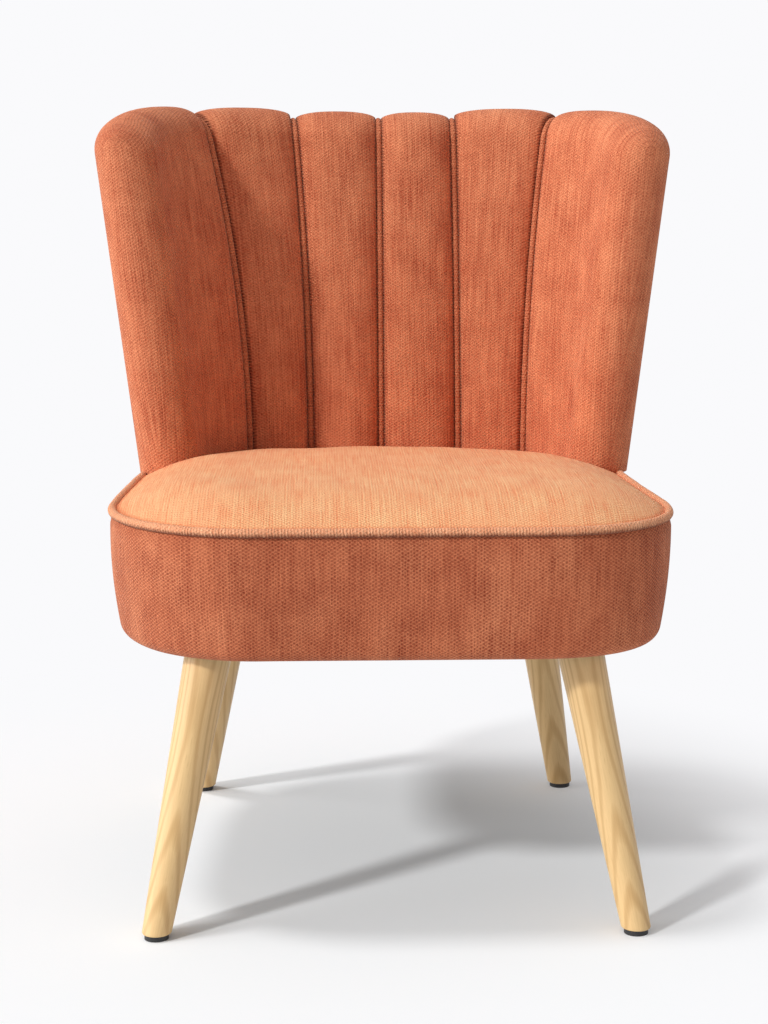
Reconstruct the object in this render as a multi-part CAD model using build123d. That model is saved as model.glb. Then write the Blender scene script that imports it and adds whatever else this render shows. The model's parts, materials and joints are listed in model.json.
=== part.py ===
from build123d import *
import os
from math import acos, asin, ceil, copysign, cos, pi, radians, sin, sqrt, tan

# Slipper chair: a flared back of six sewn channels on a round-cornered, welted seat with
# four splayed legs. Millimetres, +Z up, the chair faces -Y and left means -X.
# The origin is on the floor under the middle of the chair's overall box.

# Seat outline, measured on the welt line
seat_front = -297.5
seat_rear = 245.5
seat_front_radius = 150.0
seat_rear_radius = 200.0
seat_rear_flat = 72.0
seat_taper = 3.7

# Seat heights and upholstery
welt_height = 403.0
drum_height = 131.0
welt_radius = 4.5
crown_height = 30.0
crown_run = 125.0
cloth = 2.0
band_bulge = 2.2
band_bulge_drop = 18.0
band_bow = 560.0
band_round = 20.5
band_lip = 6.0
dust_cover_thickness = 1.0
felt_thickness = 3.0

# Seat frame
board_thickness = 18.0
board_inset = 26.0
board_chamfer = 15.0
board_ring_width = 94.0
rail_inset = 20.0
rail_width = 30.0
rail_height = 48.0
dowel_radius = 5.0
dowel_length = 60.0
dowel_spread = 22.0
screw_radius = 2.0
screw_head_radius = 4.0
screw_head_height = 3.0
screw_length = 45.0
screw_edge = 7.5
screw_spread = 80.0

# Zigzag springs and their clips
spring_places = (-150.0, -52.0, 52.0, 150.0)
spring_wire_radius = 1.8
spring_width = 50.0
spring_pitch = 24.0
clip_thickness = 1.2
clip_width = 16.0
clip_base = 14.0
clip_lip = 9.0
# Length of rear rail left for the clips in front of the back
clip_seat = 17.2

# Legs, their bolts and glides; foot is the axis on the floor, head the axis at the seat
front_foot = (237.3, -298.2)
front_head = (184.9, -226.8)
rear_foot = (218.2, 181.2)
rear_head = (171.5, 116.7)
leg_head_radius = 23.5
leg_foot_radius = 14.2
leg_edge_round = 1.5
block_side = 84.0
block_height = 30.0
bolt_radius = 4.0
bolt_in_leg = 45.0
bolt_past_nut = 3.0
nut_flange_radius = 9.0
nut_flange_thickness = 1.6
nut_barrel_radius = 5.0
nut_barrel_length = 9.0
nut_recess = 8.0
glide_radius = 12.0
glide_height = 5.5
nail_radius = 1.5
nail_length = 18.0
nail_in_glide = 4.5

# Back shell: outer face at the welt line follows the seat, and flares up to the shoulder
overall_height = 813.0
top_rise = 36.0
back_overhang = 10.0
back_shoulder_rear = 312.0
back_shoulder_radius = 245.0
back_shoulder_flat = 86.5
seam_depth = 48.0
channel_crown = 18.0
wing_depth = 72.0
wing_turn = 76.0
wing_corner = 55.0
channel_draw = 0.45
channel_steps = 8
dome_angles = (25.0, 50.0, 75.0)
channel_tuck = 18.0
piping_radius = 4.0
piping_drop = 9.0
# Places of the five seams along the back, from the middle, at the seat and at the shoulder
seams_low = (-160.0, -84.0, 0.0, 92.0, 174.0)
seams_high = (-208.0, -100.0, -1.0, 88.0, 199.0)

# Back frame
frame_turn = 68.0
frame_thickness = 22.0
liner_thickness = 3.0
back_rail_width = 37.0
back_rail_height = 33.0
top_rail_height = 40.0
top_rail_drop = 8.0
rail_turn = 66.0
post_width = 30.0
post_turns = (-60.0, -22.0, 22.0, 60.0)
back_bolt_depth = 35.5
back_bolt_run = 36.0
back_bolt_turn = 37.0
bolt_head_radius = 6.5
bolt_head_height = 5.5

# Clearances; spare is how far a cut reaches past what it cuts, straight the sag of a straight edge
gap = 0.3
slide = 0.1
slot_gap = 0.8
head_room = 1.5
spare = 40.0
straight = 0.01

# Heights that follow from the sizes above
seat_underside = welt_height - drum_height
band_bottom = seat_underside + dust_cover_thickness + gap
band_top = welt_height - welt_radius - gap
board_bottom = band_bottom + cloth + gap
board_top = board_bottom + board_thickness
rail_top = board_top + rail_height
block_top = board_top + block_height
spring_level = rail_top + clip_thickness + spring_wire_radius
clip_top = spring_level + spring_wire_radius + slide + clip_thickness
felt_bottom = clip_top + gap
foam_bottom = felt_bottom + felt_thickness + gap
crown_top = welt_height + crown_height
band_bulge_height = welt_height - band_bulge_drop
channel_bottom = welt_height - channel_tuck
shoulder = overall_height - top_rise
frame_top = shoulder - top_rail_drop
back_rail_top = rail_top + back_rail_height
cover_bottom = welt_height + welt_radius + gap
liner_bottom = back_rail_top + nut_flange_thickness + slide + gap
frame_depth = back_overhang + welt_radius + 2 * gap
liner_depth = frame_depth + frame_thickness + gap
channel_back = liner_depth + liner_thickness + gap
crest_depth = seam_depth + channel_crown
half_slot = piping_radius + slot_gap
seat_rear_centre = seat_rear - seat_rear_radius
band_wall_x = band_bulge - band_bow
round_level = band_bottom + band_round
round_angle = asin((band_bulge_height - round_level) / (band_bow - band_round))
round_x = band_wall_x + (band_bow - band_round) * cos(round_angle)


# Seat outline and the sweeps that follow it

def seat_half_width(y, inset=0.0):
    """Half width of the straight, tapering sides at y."""
    lean = radians(seat_taper)
    at_centre = seat_rear_flat + (seat_rear_radius - inset) / cos(lean)
    return at_centre + (seat_rear_centre - y) * tan(lean)


def seat_plan(inset, z):
    """Face of the seat's plan at height z, drawn in from the welt line by inset."""
    front = seat_front + inset
    rear = seat_rear - inset
    front_half = seat_half_width(front, inset)
    rear_half = seat_half_width(rear, inset)
    corners = [(-front_half, front), (front_half, front), (rear_half, rear), (-rear_half, rear)]
    plan = make_face(Polyline(*corners, close=True))
    plan = fillet(plan.vertices().group_by(Axis.Y)[0], seat_front_radius - inset)
    plan = fillet(plan.vertices().group_by(Axis.Y)[-1], seat_rear_radius - inset)
    return Pos(0, 0, z) * plan


def slab(inset, low, high):
    """Upright block with the seat's plan, between two heights."""
    return extrude(seat_plan(inset, low), amount=high - low)


def around_seat(edges):
    """Ring swept round the seat; the profile's x runs outwards from the welt line, y up."""
    path = seat_plan(0, 0).wire()
    start = path @ 0
    along = path % 0
    outward = Vector(along.Y, -along.X, 0)
    if outward.dot(start) < 0:
        outward = -outward
    plane = Plane(origin=start, x_dir=outward, z_dir=outward.cross(Vector(0, 0, 1)))
    return sweep(plane * make_face(edges), path=path)


def seat_front_y(x, inset):
    """Front edge of the plan at x."""
    centre_y = seat_front + seat_front_radius
    centre_x = seat_half_width(centre_y) - seat_front_radius / cos(radians(seat_taper))
    reach = max(abs(x) - centre_x, 0.0)
    return centre_y - sqrt((seat_front_radius - inset) ** 2 - reach ** 2)


def seat_rear_y(x, inset):
    """Rear edge of the plan at x."""
    reach = max(abs(x) - seat_rear_flat, 0.0)
    return seat_rear_centre + sqrt((seat_rear_radius - inset) ** 2 - reach ** 2)


def arc_below(centre_x, centre_z, radius, start, end):
    """Arc of a profile between two angles, each measured below the level of its centre."""
    angles = (start, (start + end) / 2, end)
    return ThreePointArc(*[(centre_x + radius * cos(a), centre_z - radius * sin(a)) for a in angles])


def band_side(inset, top, end):
    """Bowed side of the seat and its rounded lower edge, from top down to an end angle."""
    start = asin((band_bulge_height - top) / (band_bow - inset))
    wall = arc_below(band_wall_x, band_bulge_height, band_bow - inset, start, round_angle)
    edge = arc_below(round_x, round_level, band_round - inset, round_angle, end)
    return [wall, edge]


def band_sleeve():
    """Cover of the seat's side, turned in under the frame by a short lip."""
    outer = band_side(0.0, band_top, pi / 2)
    inner = band_side(cloth, band_top, pi / 2)
    lip_x = round_x - band_lip
    under = Polyline(outer[1] @ 1, (lip_x, band_bottom), (lip_x, band_bottom + cloth), inner[1] @ 1)
    return around_seat(outer + inner + [under, Line(outer[0] @ 0, inner[0] @ 0)])


def padding_sleeve():
    """Wadding between the rails and the seat's side cover."""
    inset = cloth + gap
    wall = gap - rail_inset
    end = pi - acos((wall - round_x) / (inset - band_round))
    side = band_side(inset, rail_top - gap, end)
    return around_seat(side + [Polyline(side[1] @ 1, (wall, rail_top - gap), side[0] @ 0)])


def crown_arc(inset, edge, top):
    """Profile of the crown from the cushion's edge up to its level middle."""
    run = crown_run - inset
    rise = top - edge
    radius = (run ** 2 + rise ** 2) / (2 * rise)
    half_top = top - radius + sqrt(radius ** 2 - run ** 2 / 4)
    return ThreePointArc((-inset, edge), (run / 2 - crown_run, half_top), (-crown_run, top))


def crown_block(inset, edge, top, low):
    """Crowned cushion with a flat bottom."""
    rise = crown_arc(inset, edge, top)
    ring = around_seat([rise, Polyline(rise @ 1, (-crown_run, low), (-inset, low), rise @ 0)])
    return ring + slab(crown_run, low, top)


def crown_sheet(inset, edge, top):
    """Cloth over a crowned cushion."""
    outer = crown_arc(inset, edge, top)
    inner = crown_arc(inset + cloth, edge, top - cloth)
    ring = around_seat([outer, inner, Line(outer @ 0, inner @ 0), Line(outer @ 1, inner @ 1)])
    return ring + slab(crown_run, top - cloth, top)


# Back surface: run is measured along the seams' depth from the middle, depth from the outer face

def back_plan(z):
    """Flat half length, corner radius and corner centre of the outer face at height z."""
    climb = (z - welt_height) / (shoulder - welt_height)
    low_radius = seat_rear_radius + back_overhang
    flat = seat_rear_flat + (back_shoulder_flat - seat_rear_flat) * climb
    radius = low_radius + (back_shoulder_radius - low_radius) * climb
    high_centre = back_shoulder_rear - back_shoulder_radius
    centre = seat_rear_centre + (high_centre - seat_rear_centre) * climb
    return flat, radius, centre


def run_at(turn, z):
    """Run at which the back has turned by so many degrees."""
    flat, radius, centre = back_plan(z)
    return copysign(flat + (radius - seam_depth) * radians(abs(turn)), turn)


def on_back(run, depth, z):
    """Point of the back at a run, depth and height."""
    flat, radius, centre = back_plan(z)
    turn = max(abs(run) - flat, 0.0) / (radius - seam_depth)
    x = min(abs(run), flat) + (radius - depth) * sin(turn)
    return Vector(copysign(x, run), centre + (radius - depth) * cos(turn), z)


def line(a, b):
    return Edge.make_line(a, b)


def arc(a, b, c):
    """Arc through three points, or a straight edge where they are in line."""
    a, b, c = Vector(a), Vector(b), Vector(c)
    sag = (b - a).cross(c - a).length / (c - a).length
    if sag < straight:
        return line(a, c)
    return Edge.make_three_point_arc(a, b, c)


def layer_wire(outer, inner, turn, z):
    """Closed outline of a curved layer of the back between two depths."""
    flat, radius, centre = back_plan(z)
    edges = []
    ends = []
    for depth in (outer, inner):
        row = []
        for side in (-1, 1):
            for share in (1.0, 0.5, 0.0):
                angle = side * share * radians(turn)
                x = side * flat + (radius - depth) * sin(angle)
                row.append(Vector(x, centre + (radius - depth) * cos(angle), z))
        left = row[:3]
        right = row[3:]
        edges += [arc(*left), line(left[2], right[2]), arc(*right)]
        ends.append((left[0], right[0]))
    edges += [line(ends[0][0], ends[1][0]), line(ends[0][1], ends[1][1])]
    return Wire(edges)


def layer(outer, inner, turn, low, high):
    """Curved layer of the back between two depths, two end turns and two heights."""
    return Solid.make_loft([layer_wire(outer, inner, turn, z) for z in (low, high)], ruled=True)


def strip_wire(left, right, outer, inner, z):
    """Closed outline of an upright strip between two runs and two depths."""
    middle = (left + right) / 2
    a = on_back(left, outer, z)
    b = on_back(right, outer, z)
    c = on_back(right, inner, z)
    d = on_back(left, inner, z)
    rear = arc(a, on_back(middle, outer, z), b)
    front = arc(c, on_back(middle, inner, z), d)
    return Wire([rear, line(b, c), front, line(d, a)])


def seam_run(seam, z):
    """Run of a seam at height z: upright at the seat, fanning out towards the shoulder."""
    climb = max((z - welt_height) / (shoulder - welt_height), 0.0)
    return seams_low[seam] + (seams_high[seam] - seams_low[seam]) * climb ** 2


def channel_wire(channel, z, squeeze, inset):
    """Outline of a middle channel; squeeze shrinks it to the dome over its top."""
    left = seam_run(channel - 1, z) + half_slot + inset
    right = seam_run(channel, z) - half_slot - inset
    middle = (left + right) / 2
    half = (right - left) / 2 * (1 - channel_draw * (1 - squeeze))
    core = crest_depth / 2
    rear = core - (core - inset) * squeeze
    edge = core + (seam_depth - inset - core) * squeeze
    crest = core + (crest_depth - inset - core) * squeeze
    a = on_back(middle - half, rear, z)
    b = on_back(middle + half, rear, z)
    c = on_back(middle + half, edge, z)
    d = on_back(middle - half, edge, z)
    back = arc(a, on_back(middle, rear, z), b)
    front = arc(c, on_back(middle, crest, z), d)
    return Wire([back, line(b, c), front, line(d, a)])


def wing_wire(seam, z, squeeze, inset):
    """Outline of an outer channel, which rolls round the end of the frame."""
    side = copysign(1, seams_low[seam])
    start = abs(seam_run(seam, z)) + half_slot + inset
    tip = run_at(wing_turn, z) - wing_corner * (1 - squeeze)
    middle = (start + tip) / 2
    core = wing_depth / 2
    roll = (core - inset) * squeeze
    edge = core + (seam_depth - inset - core) * squeeze
    face = core + (wing_depth - inset - core) * squeeze
    full = (edge + 3 * face) / 4
    flat, radius, centre = back_plan(z)
    turn = (tip - flat) / (radius - seam_depth)

    def place(run, depth):
        point = on_back(run, depth, z)
        return Vector(side * point.X, point.Y, z)

    def round_tip(angle):
        along = roll * cos(radians(angle))
        point = on_back(tip, core + roll * sin(radians(angle)), z)
        return Vector(side * (point.X + along * cos(turn)), point.Y - along * sin(turn), z)

    a = place(start, core - roll)
    b = place(start, edge)
    c = round_tip(90)
    d = round_tip(0)
    e = round_tip(-90)
    front = arc(b, place(middle, full), c)
    nose = arc(c, round_tip(45), d)
    flank = arc(d, round_tip(-45), e)
    rear = arc(e, place(middle, core - roll), a)
    return Wire([line(a, b), front, nose, flank, rear])


def channel_body(channel, inset, low):
    """Full thickness of one channel up to its domed top, drawn in by inset."""
    def section(z, squeeze):
        if channel == 0:
            return wing_wire(0, z, squeeze, inset)
        if channel == len(seams_low):
            return wing_wire(len(seams_low) - 1, z, squeeze, inset)
        return channel_wire(channel, z, squeeze, inset)

    rise = (shoulder - low) / channel_steps
    wires = [section(low + rise * step, 1.0) for step in range(channel_steps + 1)]
    for angle in dome_angles:
        z = shoulder + (top_rise - inset) * sin(radians(angle))
        wires.append(section(z, cos(radians(angle))))
    return Solid.make_loft(wires, ruled=True)


# Seat frame

def rail_ring(width):
    return slab(rail_inset, board_top, rail_top) - slab(rail_inset + width, board_top, rail_top)


def zone(y_low, y_high):
    """Block that keeps a stretch of the rails between two places along Y."""
    width = 2 * seat_half_width(seat_front)
    middle = Pos(0, (y_low + y_high) / 2, (board_top + rail_top) / 2)
    return middle * Box(width, y_high - y_low, rail_height + spare)


back_foot = on_back(0.0, frame_depth + back_rail_width, rail_top).Y
rear_rail_width = seat_rear - rail_inset - back_foot + clip_seat
front_joint = seat_front + seat_front_radius
rear_joint = seat_rear_centre
base_board = slab(board_inset, board_bottom, board_top)
base_board = chamfer(base_board.faces().sort_by(Axis.Z)[0].outer_wire().edges(), board_chamfer)
base_board -= slab(board_inset + board_ring_width, board_bottom, board_top)
slim_ring = rail_ring(rail_width)
seat_front_rail = slim_ring & zone(seat_front, front_joint)
seat_sides = slim_ring & zone(front_joint, rear_joint)
seat_left_rail, seat_right_rail = seat_sides.solids().sort_by(Axis.X)
seat_rear_rail = rail_ring(rear_rail_width) & zone(rear_joint, seat_rear)


def rod(start, along, radius, length):
    """Round bar from a point along a direction."""
    return Solid.make_cylinder(radius, length, Plane(origin=start, z_dir=along))


dowels = []
dowel_holes = []
for joint in (front_joint, rear_joint):
    place_x = seat_half_width(joint, rail_inset + rail_width / 2)
    for x in (-place_x, place_x):
        for step in (-0.5, 0.5):
            z = (board_top + rail_top) / 2 + step * dowel_spread
            start = Vector(x, joint - dowel_length / 2, z)
            dowels.append(rod(start, (0, 1, 0), dowel_radius, dowel_length))
            room = Vector(x, joint - dowel_length / 2 - gap, z)
            dowel_holes.append(rod(room, (0, 1, 0), dowel_radius + slide, dowel_length + 2 * gap))


# Legs

def leg_axis(foot, head, side_x):
    """Foot point, direction and length of a leg's axis up to the seat."""
    start = Vector(side_x * foot[0], foot[1], 0)
    end = Vector(side_x * head[0], head[1], seat_underside)
    return start, (end - start).normalized(), (end - start).length


def block_at(head_point, inset):
    """Leg block behind the rails round a leg's axis."""
    stock = Pos(head_point.X, head_point.Y, (board_top + block_top) / 2)
    return (stock * Box(block_side, block_side, block_height)) & slab(inset, board_top, block_top)


def tee_nut(face, along, passage):
    """Barrel and flange of a tee nut, with its flange on a face."""
    barrel = rod(face - along * nut_barrel_length, along, nut_barrel_radius, nut_barrel_length)
    flange = rod(face, along, nut_flange_radius, nut_flange_thickness)
    return barrel + flange - passage


def nut_hole(face, along):
    """Room for a tee nut's barrel below a face."""
    start = face - along * (nut_barrel_length + gap)
    return rod(start, along, nut_barrel_radius + slide, nut_barrel_length + 2 * gap)


def leg_corner(foot, head, side_x, inset):
    """Leg, glide, block, nail, bolt, tee nut and bolt passage of one corner."""
    start, along, length = leg_axis(foot, head, side_x)
    reach = length + leg_head_radius
    swell = (leg_head_radius - leg_foot_radius) / length
    narrow = leg_foot_radius - swell * leg_foot_radius
    wide = leg_foot_radius + swell * reach
    bolt_start = start + along * (length - bolt_in_leg)
    foot_face = start + along * (glide_height / along.Z)
    floor_point = Vector(foot_face.X, foot_face.Y, 0)
    upright = Vector(0, 0, 1)
    nail_start = foot_face - upright * nail_in_glide
    nut_face = start + along * ((block_top - nut_recess) / along.Z)
    passage = rod(bolt_start, along, bolt_radius + gap, reach)

    cone = Plane(origin=start - along * leg_foot_radius, z_dir=along)
    leg = Solid.make_cone(narrow, wide, reach + leg_foot_radius, cone)
    leg = split(leg, Plane.XY.offset(glide_height), keep=Keep.TOP)
    leg = fillet(leg.edges().sort_by(Axis.Z)[:1], leg_edge_round)
    leg = split(leg, Plane.XY.offset(seat_underside), keep=Keep.BOTTOM)
    leg -= rod(bolt_start - along * gap, along, bolt_radius + slide, reach)
    leg -= rod(nail_start, upright, nail_radius + slide, nail_length + gap)

    glide = rod(floor_point, upright, glide_radius, glide_height)
    glide -= rod(nail_start, upright, nail_radius + slide, nail_length)
    nail = rod(nail_start, upright, nail_radius, nail_length)

    bolt_length = (nut_face - bolt_start).length + nut_flange_thickness + bolt_past_nut
    bolt = rod(bolt_start, along, bolt_radius, bolt_length)
    nut = tee_nut(nut_face, along, rod(bolt_start, along, bolt_radius + slide, reach))
    block = block_at(start + along * (block_top / along.Z), inset + gap)
    block -= passage
    block -= nut_hole(nut_face, along)
    block -= rod(nut_face, along, nut_flange_radius + gap, length)
    return leg, glide, block, nail, bolt, nut, passage


legs = {}
glides = {}
blocks = {}
hanger_bolts = []
leg_nuts = []
nails = []
board_holes = []
leg_ends = (
    ("front", front_foot, front_head, rail_inset + rail_width),
    ("rear", rear_foot, rear_head, rail_inset + rear_rail_width),
)
for end, foot, head, inset in leg_ends:
    for side, side_x in (("left", -1), ("right", 1)):
        leg, glide, block, nail, bolt, nut, passage = leg_corner(foot, head, side_x, inset)
        legs[f"leg_{end}_{side}"] = leg
        glides[f"glide_{end}_{side}"] = glide
        blocks[f"leg_block_{end}_{side}"] = block
        nails.append(nail)
        hanger_bolts.append(bolt)
        leg_nuts.append(nut)
        board_holes.append(passage)

# Back frame and the bolts that hold it on the seat
back_bottom_rail = layer(frame_depth, frame_depth + back_rail_width, rail_turn, rail_top, back_rail_top)
back_top_rail = layer(frame_depth, frame_depth + frame_thickness, rail_turn,
                      frame_top - top_rail_height, frame_top)


def post(turn):
    """Upright between the back's two rails."""
    wires = []
    for z in (back_rail_top, frame_top - top_rail_height):
        run = run_at(turn, z) if turn else 0.0
        left = run - post_width / 2
        right = run + post_width / 2
        wires.append(strip_wire(left, right, frame_depth, frame_depth + frame_thickness, z))
    return Solid.make_loft(wires, ruled=True)


post_names = ("wing_post_left", "back_post_left", "back_post_right", "wing_post_right")
posts = {name: post(turn) for name, turn in zip(post_names, post_turns)}
posts["back_post_middle"] = post(0.0)
back_liner = layer(liner_depth, liner_depth + liner_thickness, frame_turn, liner_bottom, frame_top)
outside_back_cover = layer(0.0, cloth, frame_turn, cover_bottom, frame_top)
outside_back_wadding = layer(cloth + gap, frame_depth - gap, frame_turn, cover_bottom, frame_top)

up = Vector(0, 0, 1)
shank = back_rail_top + nut_flange_thickness + slide - board_top
back_bolts = []
back_nuts = []
outer_bolt_run = run_at(back_bolt_turn, rail_top)
for run in (-outer_bolt_run, -back_bolt_run, back_bolt_run, outer_bolt_run):
    centre = on_back(run, back_bolt_depth, rail_top)
    bolt_foot = Vector(centre.X, centre.Y, board_top)
    nut_face = Vector(centre.X, centre.Y, back_rail_top)
    bolt_head = rod(bolt_foot - up * bolt_head_height, up, bolt_head_radius, bolt_head_height)
    back_bolts.append(rod(bolt_foot, up, bolt_radius, shank) + bolt_head)
    back_nuts.append(tee_nut(nut_face, up, rod(bolt_foot, up, bolt_radius + slide, shank + gap)))
    bolt_hole = rod(bolt_foot, up, bolt_radius + gap, shank)
    seat_rear_rail -= bolt_hole
    back_bottom_rail -= bolt_hole
    back_bottom_rail -= nut_hole(nut_face, up)
    base_board -= rod(bolt_foot - up * board_thickness, up, bolt_head_radius + head_room, board_thickness)

# Screws that hold the base board to the rails
screws = []
screw_y = (front_joint + rear_joint) / 2
screw_inset = rail_inset + rail_width - screw_edge
screw_points = []
for x in (-seat_rear_flat, seat_rear_flat):
    screw_points.append((x, seat_front_y(x, screw_inset)))
    screw_points.append((x, seat_rear_y(x, screw_inset)))
for y in (screw_y - screw_spread / 2, screw_y + screw_spread / 2):
    x = seat_half_width(y, screw_inset)
    screw_points += [(-x, y), (x, y)]
screw_cuts = []
for x, y in screw_points:
    tip = Vector(x, y, board_bottom)
    cone = Plane(origin=tip, z_dir=up)
    screw_head = Solid.make_cone(screw_head_radius, screw_radius, screw_head_height, cone)
    screws.append(rod(tip, up, screw_radius, screw_length) + screw_head)
    room = Solid.make_cone(screw_head_radius + slide, screw_radius + slide, screw_head_height, cone)
    screw_cuts.append(rod(tip, up, screw_radius + slide, screw_length + gap) + room)


def cut(body, tools):
    """Body with every tool taken away."""
    for tool in tools:
        body = body - tool
    return body


base_board = cut(base_board, board_holes + screw_cuts)
seat_front_rail = cut(seat_front_rail, dowel_holes + screw_cuts)
seat_rear_rail = cut(seat_rear_rail, dowel_holes + screw_cuts)
seat_left_rail = cut(seat_left_rail, dowel_holes + screw_cuts)
seat_right_rail = cut(seat_right_rail, dowel_holes + screw_cuts)


# Springs and clips

def zigzag(x, front, rear):
    """Flat zigzag spring between two bars across the seat."""
    turns = 2 * ceil((rear - front) / (2 * spring_pitch))
    pitch = (rear - front) / turns
    half = spring_width / 2 - pitch / 2
    edges = []
    for step in range(turns + 1):
        y = front + step * pitch
        way = 1 if step % 2 == 0 else -1
        edges.append(line((x - way * half, y, spring_level), (x + way * half, y, spring_level)))
        if step < turns:
            bend = (x + way * (half + pitch / 2), y + pitch / 2, spring_level)
            edges.append(arc((x + way * half, y, spring_level), bend,
                             (x + way * half, y + pitch, spring_level)))
    start = Plane(origin=(x - half, front, spring_level), z_dir=(1, 0, 0))
    return sweep(start * Circle(spring_wire_radius), path=Wire(edges))


def clip(x, y, way):
    """Folded steel clip over a spring's end bar, open towards the seat's middle."""
    wall = spring_wire_radius + slide
    outer = -wall - clip_thickness
    low = rail_top
    base_top = rail_top + clip_thickness
    lip_low = clip_top - clip_thickness
    points = [
        (outer, low), (outer + clip_base, low), (outer + clip_base, base_top), (-wall, base_top),
        (-wall, lip_low), (outer + clip_lip, lip_low), (outer + clip_lip, clip_top), (outer, clip_top),
    ]
    side = Plane(origin=(x - clip_width / 2, y, 0), x_dir=(0, way, 0), z_dir=(way, 0, 0))
    face = side * make_face(Polyline(*points, close=True))
    return extrude(face, amount=clip_width, dir=(1, 0, 0))


springs = []
clips = []
bar_inset = rail_inset + rail_width / 2
rear_bar_inset = rail_inset + rear_rail_width - clip_base / 2
for x in spring_places:
    front = seat_front_y(abs(x) + spring_width / 2, bar_inset)
    rear = seat_rear_y(abs(x) + clip_width / 2, rear_bar_inset)
    springs.append(zigzag(x, front, rear))
    clips += [clip(x, front, 1), clip(x, rear, -1)]

# Back upholstery
last = len(seams_low)
frame_room = layer(-spare, channel_back, frame_turn, rail_top - spare, frame_top + gap)
rim_inner = -welt_radius - 2 * gap
rim = [(rim_inner, 0), (spare, 0), (spare, cover_bottom), (rim_inner, cover_bottom)]
rim_room = around_seat([Polyline(*rim, close=True)])
panels = {}
channel_foams = {}
grown = []
for channel in range(last + 1):
    whole = channel_body(channel, 0.0, channel_bottom)
    hollow = channel_body(channel, cloth, channel_bottom - cloth)
    filling = channel_body(channel, cloth + gap, channel_bottom)
    panel = whole - hollow - frame_room
    foam = filling - frame_room
    if channel in (0, last):
        panel -= rim_room
        foam -= rim_room
    panels[f"back_panel_{channel + 1}"] = panel
    channel_foams[f"channel_foam_{channel + 1}"] = foam
    grown.append(channel_body(channel, -gap, channel_bottom - gap))


def piping(seam):
    """Cord in the slot between two channels, up the front and over the top."""
    low = channel_bottom + piping_radius
    turn_z = overall_height - piping_drop - piping_radius - seam_depth / 2
    middle = (low + turn_z) / 2
    front = [on_back(seam_run(seam, z), seam_depth, z) for z in (low, middle, turn_z)]
    rise = arc(*front)
    crest_z = turn_z + seam_depth / 2
    crest = on_back(seam_run(seam, crest_z), seam_depth / 2, crest_z)
    over = Edge.make_tangent_arc(front[2], rise % 1, crest)
    start = Plane(origin=front[0], z_dir=rise % 0)
    return sweep(start * Circle(piping_radius), path=Wire([rise, over]))


pipings = {f"back_piping_{seam + 1}": piping(seam) for seam in range(last)}

# Seat upholstery
back_room = [
    layer(-spare, frame_depth + back_rail_width + gap, wing_turn, rail_top - gap, channel_bottom),
    layer(-spare, seam_depth + half_slot, wing_turn, channel_bottom, crown_top + spare),
]
back_room += grown
cover_inset = welt_radius + gap
seat_top_cover = crown_sheet(cover_inset, welt_height, crown_top)
seat_top_cover = cut(seat_top_cover, back_room).solids().sort_by(SortBy.VOLUME)[-1]
foam_inset = cover_inset + cloth + gap
seat_foam = crown_block(foam_inset, welt_height, crown_top - cloth - gap, foam_bottom)
seat_foam = cut(seat_foam, back_room).solids().sort_by(SortBy.VOLUME)[-1]
spring_felt = cut(slab(rail_inset + gap, felt_bottom, felt_bottom + felt_thickness), back_room[:1])
seat_band = band_sleeve()
side_padding = padding_sleeve()
welt_path = seat_plan(0, welt_height).wire()
seat_welt = sweep(Plane(origin=welt_path @ 0, z_dir=welt_path % 0) * Circle(welt_radius), path=welt_path)
dust_cover = slab(-round_x, seat_underside, seat_underside + dust_cover_thickness)
dust_cover = cut(dust_cover, board_holes)

# Every node, by name
nodes = {
    "base_board": base_board,
    "seat_front_rail": seat_front_rail,
    "seat_rear_rail": seat_rear_rail,
    "seat_left_rail": seat_left_rail,
    "seat_right_rail": seat_right_rail,
    "rail_dowels": Compound(dowels),
    "base_screws": Compound(screws),
    "zigzag_springs": Compound(springs),
    "spring_clips": Compound(clips),
    "spring_felt": spring_felt,
    "seat_foam": seat_foam,
    "side_padding": side_padding,
    "seat_top_cover": seat_top_cover,
    "seat_band": seat_band,
    "seat_welt": seat_welt,
    "dust_cover": dust_cover,
    "hanger_bolts": Compound(hanger_bolts),
    "leg_tee_nuts": Compound(leg_nuts),
    "glide_nails": Compound(nails),
    "back_bottom_rail": back_bottom_rail,
    "back_top_rail": back_top_rail,
    "back_liner": back_liner,
    "outside_back_cover": outside_back_cover,
    "outside_back_wadding": outside_back_wadding,
    "back_bolts": Compound(back_bolts),
    "back_tee_nuts": Compound(back_nuts),
}
for group in (legs, glides, blocks, posts, panels, channel_foams, pipings):
    nodes.update(group)

os.makedirs("parts", exist_ok=True)
for name, shape in nodes.items():
    export_step(shape, f"parts/{name}.step")
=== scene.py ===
import json
from math import cos, pi, radians, sin, tan

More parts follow.
